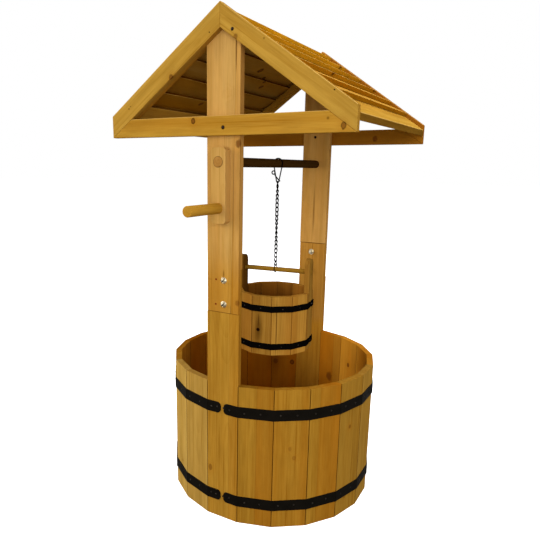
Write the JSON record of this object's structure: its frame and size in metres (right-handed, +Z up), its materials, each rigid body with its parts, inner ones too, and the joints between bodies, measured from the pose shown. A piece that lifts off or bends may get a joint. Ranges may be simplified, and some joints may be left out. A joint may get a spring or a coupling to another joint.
{
  "type": "wishing well planter",
  "caption": "Wooden wishing well planter: a round staved tub with two posts, a small pitched roof, and a crank that winds up a little bucket on a chain.",
  "frame": {"origin": "middle of the tub's underside, on the ground", "axes": "+X to the right as seen from the crank side, -Y to the crank side, +Z up"},
  "size_m": [0.566, 0.6576, 1.125],
  "materials": {
    "tub_wood": "clear varnished pine boards",
    "post_wood": "clear varnished pine boards",
    "roof_wood": "clear varnished pine boards",
    "floor_wood": "plain sawn pine",
    "dowel_wood": "brown stained round wood",
    "bucket_wood": "varnished pine",
    "hoop_metal": "satin black",
    "chain_metal": "satin black",
    "zinc": "zinc plated"
  },
  "bodies": {
    "frame": {"stave_01": "tub_wood", "stave_02": "tub_wood", "stave_03": "tub_wood", "stave_04": "tub_wood", "stave_05": "tub_wood", "stave_06": "tub_wood", "stave_07": "tub_wood", "stave_08": "tub_wood", "stave_09": "tub_wood", "stave_10": "tub_wood", "stave_11": "tub_wood", "stave_12": "tub_wood", "stave_13": "tub_wood", "stave_14": "tub_wood", "stave_15": "tub_wood", "stave_16": "tub_wood", "stave_17": "tub_wood", "stave_18": "tub_wood", "front_lower_post": "tub_wood", "rear_lower_post": "tub_wood", "front_upper_post": "post_wood", "rear_upper_post": "post_wood", "post_bolts": "zinc", "post_nuts": "zinc", "upper_hoop_right": "hoop_metal", "upper_hoop_left": "hoop_metal", "lower_hoop_right": "hoop_metal", "lower_hoop_left": "hoop_metal", "floor_boards": "floor_wood", "floor_battens": "floor_wood", "front_rafter_right": "roof_wood", "front_rafter_left": "roof_wood", "front_tie": "roof_wood", "rear_rafter_right": "roof_wood", "rear_rafter_left": "roof_wood", "rear_tie": "roof_wood", "roof_slats_right": "roof_wood", "eave_board_right": "roof_wood", "roof_slats_left": "roof_wood", "eave_board_left": "roof_wood", "roof_cleats": "roof_wood"},
    "windlass": {"axle": "dowel_wood", "crank_arm": "post_wood", "crank_peg": "dowel_wood"},
    "hanger": {"chain_hook": "chain_metal", "chain": "chain_metal"},
    "chain_end": {"bail_ring": "chain_metal"},
    "bucket": {"bucket_ear_right": "bucket_wood", "bucket_ear_left": "bucket_wood", "bucket_staves": "bucket_wood", "bucket_base": "bucket_wood", "bucket_bar": "dowel_wood", "bucket_upper_hoop": "hoop_metal", "bucket_lower_hoop": "hoop_metal"}
  },
  "joints": [
    {"name": "windlass_turn", "type": "hinge", "parent": "frame", "child": "windlass", "pos_m": [0, 0, 0.827], "axis": [0, 1, 0], "range_deg": [0, 105]},
    {"name": "chain_swing", "type": "hinge", "parent": "frame", "child": "hanger", "pos_m": [0, 0, 0.827], "axis": [0, 1, 0], "range_deg": [-12, 12]},
    {"name": "bucket_lift", "type": "slide", "parent": "hanger", "child": "chain_end", "axis": [0, 0, 1], "range_m": [0, 0.0211], "deforming": ["chain"]},
    {"name": "bucket_tip", "type": "hinge", "parent": "chain_end", "child": "bucket", "pos_m": [0, 0, 0.5645], "axis": [0.9925, 0.1219, 0], "range_deg": [-30, 30]}
  ],
  "couplings": [
    {"joint": "bucket_lift", "follows": "windlass_turn", "m_per_rad": 0.0115}
  ]
}
